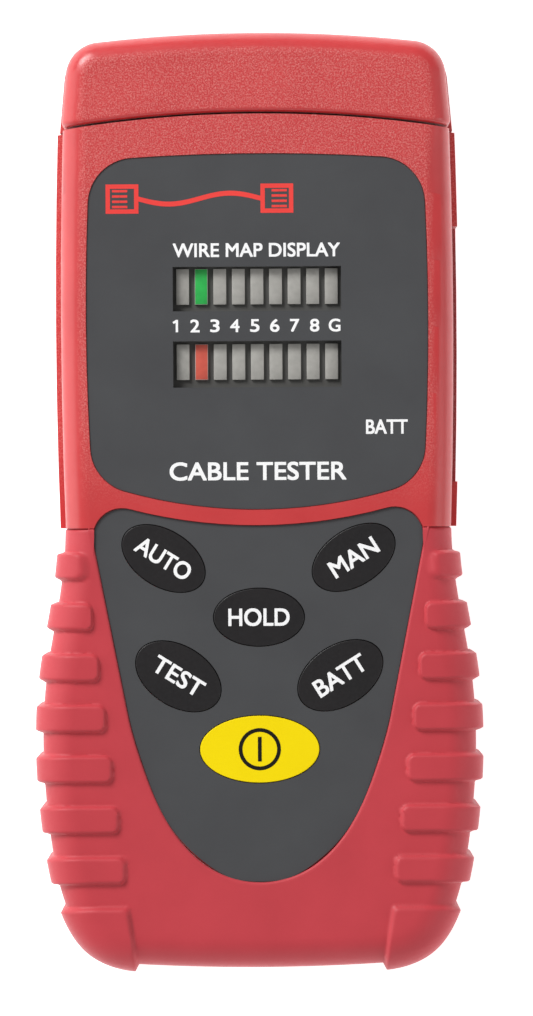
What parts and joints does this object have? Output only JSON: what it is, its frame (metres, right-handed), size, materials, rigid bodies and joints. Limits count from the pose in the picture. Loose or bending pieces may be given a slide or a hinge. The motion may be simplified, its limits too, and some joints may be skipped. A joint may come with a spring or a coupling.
{
  "type": "network cable tester",
  "caption": "Hand-held network cable tester: two-part hard case, ribbed rubber boot, light bar windows, film keypad, side ports, pull-off remote unit and battery door.",
  "frame": {"origin": "on the surface it lies on, under the middle of the case", "axes": "+Z out of the face, +Y along the length towards the remote unit, +X to the right seen from the front"},
  "size_m": [0.0764, 0.16, 0.04],
  "materials": {
    "red_shell": "fine spark grain, satin",
    "red_rubber": "matt, soft",
    "label_grey": "fine matt film",
    "light_bar": "frosted, translucent",
    "holder_plastic": "matt",
    "key_black": "smooth matt film",
    "key_yellow": "smooth matt film",
    "black_plastic": "moulded, satin",
    "circuit_board": "glass fibre laminate",
    "screw_steel": "zinc plated",
    "contact_gold": "gold plated",
    "battery_can": "printed steel can",
    "lead_rubber": "insulated wire"
  },
  "bodies": {
    "main_unit": {"front_shell": "red_shell", "rear_shell": "red_shell", "rubber_boot": "red_rubber", "display_label": "label_grey", "keypad_label": "label_grey", "upper_light_bars": "light_bar", "lower_light_bars": "light_bar", "bar_holder": "holder_plastic", "indicator_leds": "light_bar", "key_switches": "black_plastic", "main_board": "circuit_board", "jack_board": "circuit_board", "board_screws": "screw_steel", "case_screws": "screw_steel", "control_chips": "black_plastic", "board_header": "black_plastic", "lower_port_jack": "black_plastic", "upper_port_jack": "black_plastic", "port_bezel": "black_plastic", "port_contacts": "contact_gold", "battery": "battery_can", "battery_snap": "black_plastic", "battery_leads": "lead_rubber", "door_insert": "contact_gold"},
    "remote_unit": {"remote_front_shell": "red_shell", "remote_rear_shell": "red_shell", "remote_jack": "black_plastic", "remote_contacts": "contact_gold", "remote_board": "circuit_board", "remote_screws": "screw_steel"},
    "battery_door": {"battery_door": "red_shell"},
    "door_screw": {"door_screw": "screw_steel"},
    "key_auto": {"key_auto": "key_black"},
    "key_manual": {"key_manual": "key_black"},
    "key_hold": {"key_hold": "key_black"},
    "key_test": {"key_test": "key_black"},
    "key_battery": {"key_battery": "key_black"},
    "key_power": {"key_power": "key_yellow"}
  },
  "joints": [
    {"name": "remote_pull", "type": "slide", "parent": "main_unit", "child": "remote_unit", "axis": [0, 1, 0], "range_m": [0, 0.04]},
    {"name": "door_tilt", "type": "hinge", "parent": "main_unit", "child": "battery_door", "pos_m": [0, -0.0677, 0.0012], "axis": [-1, 0, 0], "range_deg": [0, 45]},
    {"name": "door_screw_turn", "type": "hinge", "parent": "battery_door", "child": "door_screw", "pos_m": [0, -0.0096, 0.0009], "axis": [0, 0, 1], "continuous": true},
    {"name": "key_auto_press", "type": "slide", "parent": "main_unit", "child": "key_auto", "axis": [0, 0, -1], "range_m": [0, 0.00045], "stiffness_N_per_m": 2500, "springref_m": -0.0003},
    {"name": "key_manual_press", "type": "slide", "parent": "main_unit", "child": "key_manual", "axis": [0, 0, -1], "range_m": [0, 0.00045], "stiffness_N_per_m": 2500, "springref_m": -0.0003},
    {"name": "key_hold_press", "type": "slide", "parent": "main_unit", "child": "key_hold", "axis": [0, 0, -1], "range_m": [0, 0.00045], "stiffness_N_per_m": 2500, "springref_m": -0.0003},
    {"name": "key_test_press", "type": "slide", "parent": "main_unit", "child": "key_test", "axis": [0, 0, -1], "range_m": [0, 0.00045], "stiffness_N_per_m": 2500, "springref_m": -0.0003},
    {"name": "key_battery_press", "type": "slide", "parent": "main_unit", "child": "key_battery", "axis": [0, 0, -1], "range_m": [0, 0.00045], "stiffness_N_per_m": 2500, "springref_m": -0.0003},
    {"name": "key_power_press", "type": "slide", "parent": "main_unit", "child": "key_power", "axis": [0, 0, -1], "range_m": [0, 0.00045], "stiffness_N_per_m": 2500, "springref_m": -0.0003}
  ]
}
